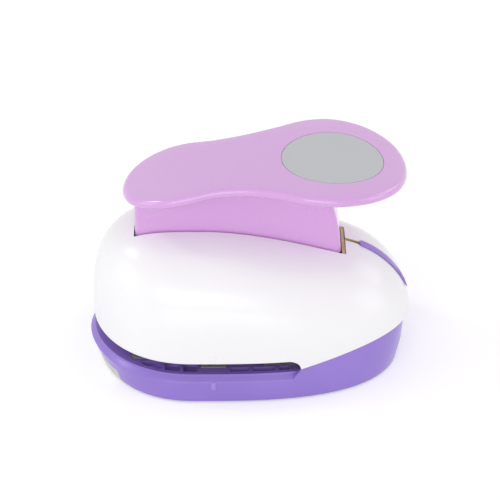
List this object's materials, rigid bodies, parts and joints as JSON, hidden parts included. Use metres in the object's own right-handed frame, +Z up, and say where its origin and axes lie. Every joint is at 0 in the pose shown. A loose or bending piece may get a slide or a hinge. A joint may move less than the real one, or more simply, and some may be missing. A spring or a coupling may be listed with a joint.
{
  "type": "circle punch",
  "caption": "Lever punch for paper craft that cuts round pieces: egg-shaped base, domed cover, wide lever handle, inner punch and die.",
  "frame": {"origin": "middle of the footprint, on the table under the feet", "axes": "+X from the paper mouth to the wide end of the handle, +Y across, +Z up"},
  "size_m": [0.1642, 0.104, 0.1118],
  "materials": {
    "base_plastic": "purple moulded ABS, satin",
    "cover_plastic": "white moulded ABS, smooth",
    "lever_plastic": "lilac moulded ABS, satin",
    "inlay_film": "grey disc with a soft sheen",
    "slider_plastic": "purple moulded ABS, satin",
    "lid_plastic": "light grey moulded polypropylene",
    "holder_plastic": "black moulded nylon",
    "plate_steel": "ground and hardened steel",
    "dark_steel": "oiled dark steel sheet",
    "zinc_steel": "yellow zinc plated sheet steel",
    "screw_steel": "bright zinc plated steel",
    "spring_steel": "drawn spring wire",
    "foot_rubber": "grey non-slip rubber"
  },
  "bodies": {
    "housing": {"base": "base_plastic", "cover": "cover_plastic", "die_plate": "plate_steel", "stripper_plate": "dark_steel", "plate_spacer": "plate_steel", "hinge_bracket": "zinc_steel", "hinge_pin": "screw_steel", "hinge_clip": "dark_steel", "hinge_washer_left": "holder_plastic", "hinge_washer_right": "holder_plastic", "rear_guide": "zinc_steel", "plate_rivet_1": "screw_steel", "plate_rivet_2": "screw_steel", "plate_rivet_3": "screw_steel", "plate_rivet_4": "screw_steel", "bracket_rivet_left": "screw_steel", "bracket_rivet_right": "screw_steel", "die_screw_left": "screw_steel", "die_screw_right": "screw_steel", "guide_screw_left": "screw_steel", "guide_screw_right": "screw_steel", "cover_screw_front_left": "screw_steel", "cover_screw_front_right": "screw_steel", "cover_screw_rear_left": "screw_steel", "cover_screw_rear_right": "screw_steel", "guide_post_front_left": "screw_steel", "guide_post_front_right": "screw_steel", "guide_post_rear_left": "screw_steel", "guide_post_rear_right": "screw_steel", "return_spring_front_left": "spring_steel", "return_spring_front_right": "spring_steel", "return_spring_rear_left": "spring_steel", "return_spring_rear_right": "spring_steel", "foot_front_left": "foot_rubber", "foot_front_right": "foot_rubber", "foot_rear_left": "foot_rubber", "foot_rear_right": "foot_rubber"},
    "lever": {"lever": "lever_plastic", "lever_inlay": "inlay_film", "roller_axle": "screw_steel"},
    "roller": {"press_roller": "plate_steel"},
    "punch_unit": {"punch": "plate_steel", "punch_holder": "holder_plastic", "punch_screw_left": "screw_steel", "punch_screw_right": "screw_steel"},
    "lock": {"lock_slider": "slider_plastic", "lock_keeper": "zinc_steel", "lock_screw": "screw_steel"},
    "waste_lid": {"waste_lid": "lid_plastic"}
  },
  "joints": [
    {"name": "lever_hinge", "type": "hinge", "parent": "housing", "child": "lever", "pos_m": [-0.04971, 0, 0.06], "axis": [0, 1, 0], "range_deg": [0, 15.4], "stiffness_Nm_per_rad": 1, "springref_deg": -5.73},
    {"name": "punch_slide", "type": "slide", "parent": "housing", "child": "punch_unit", "axis": [0, 0, -1], "range_m": [0, 0.0083], "stiffness_N_per_m": 2500, "springref_m": -0.003, "deforming": ["return_spring_front_left", "return_spring_front_right", "return_spring_rear_left", "return_spring_rear_right"]},
    {"name": "roller_spin", "type": "hinge", "parent": "lever", "child": "roller", "pos_m": [-0.01771, 0, 0.045], "axis": [0, 1, 0], "continuous": true},
    {"name": "lock_slide", "type": "hinge", "parent": "housing", "child": "lock", "pos_m": [0.03729, 0, 0.0195], "axis": [0, 1, 0], "range_deg": [-9.4, 0]},
    {"name": "lid_hinge", "type": "hinge", "parent": "housing", "child": "waste_lid", "pos_m": [0.03349, 0, 0.0024], "axis": [0, -1, 0], "range_deg": [0, 70]}
  ],
  "couplings": [
    {"joint": "punch_slide", "follows": "lever_hinge", "m_per_rad": 0.0306}
  ]
}
